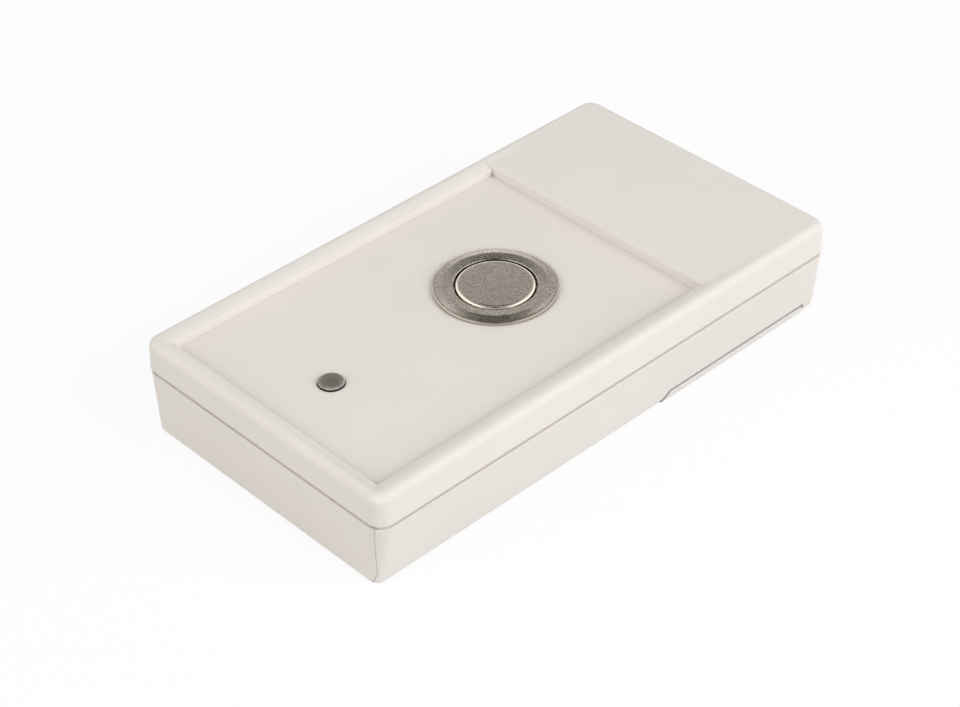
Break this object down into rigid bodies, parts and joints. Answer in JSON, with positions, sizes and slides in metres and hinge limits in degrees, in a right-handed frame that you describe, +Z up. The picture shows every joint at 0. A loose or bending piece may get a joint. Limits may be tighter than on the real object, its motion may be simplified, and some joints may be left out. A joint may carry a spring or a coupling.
{
  "type": "wireless call button",
  "caption": "Flat off-white plastic box with a metal push-button and a small lamp in a shallow recess, which sends a radio call when pressed; battery lid in the base.",
  "frame": {"origin": "middle of the base, on the table, under the centre of the button", "axes": "+X across the box to the long side seen at the right of the picture, +Y along the box to the raised battery end, +Z up"},
  "size_m": [0.059, 0.107, 0.0185],
  "materials": {
    "shell": "fine matt off-white ABS",
    "button_metal": "satin nickel",
    "seal": "matt black",
    "zinc": "zinc plated",
    "dark_plastic": "black moulding",
    "contact_brass": "bright",
    "spring_steel": "bright wire",
    "board": "green solder mask",
    "lamp_lens": "smoky clear",
    "tin": "tin plated",
    "copper": "bare copper",
    "capacitor_sleeve": "dark sleeve",
    "wire_red": "red insulation",
    "wire_black": "black insulation",
    "cell": "plain dark grey sleeve",
    "nickel": "nickel plated"
  },
  "bodies": {
    "housing": {"upper_shell": "shell", "lower_shell": "shell", "front_panel": "shell", "case_screws": "zinc", "button_bezel": "button_metal", "panel_gasket": "seal", "panel_nut": "zinc", "return_spring": "spring_steel", "switch_housing": "dark_plastic", "switch_base": "dark_plastic", "switch_terminals": "contact_brass", "circuit_board": "board", "board_screws": "zinc", "led_lens": "lamp_lens", "led_leads": "tin", "microcontroller": "dark_plastic", "radio_chip": "dark_plastic", "radio_shield": "tin", "crystal": "tin", "antenna_coil": "copper", "capacitor": "capacitor_sleeve", "chip_resistors": "dark_plastic", "switch_wires": "wire_red", "positive_wire": "wire_red", "negative_wire": "wire_black", "battery_front": "cell", "battery_rear": "cell", "bridge_contact": "nickel", "positive_contact": "nickel", "negative_contact": "nickel", "bridge_spring": "spring_steel", "negative_spring": "spring_steel"},
    "button": {"button_cap": "button_metal", "button_plunger": "dark_plastic", "moving_contact": "contact_brass"},
    "lid": {"battery_lid": "shell"}
  },
  "joints": [
    {"name": "button_press", "type": "slide", "parent": "housing", "child": "button", "axis": [0, 0, -1], "range_m": [0, 0.001], "stiffness_N_per_m": 1500, "springref_m": -0.0005, "deforming": ["return_spring"]},
    {"name": "lid_swing", "type": "hinge", "parent": "housing", "child": "lid", "pos_m": [0, 0.0489, 0.0003], "axis": [1, 0, 0], "range_deg": [0, 40]}
  ]
}
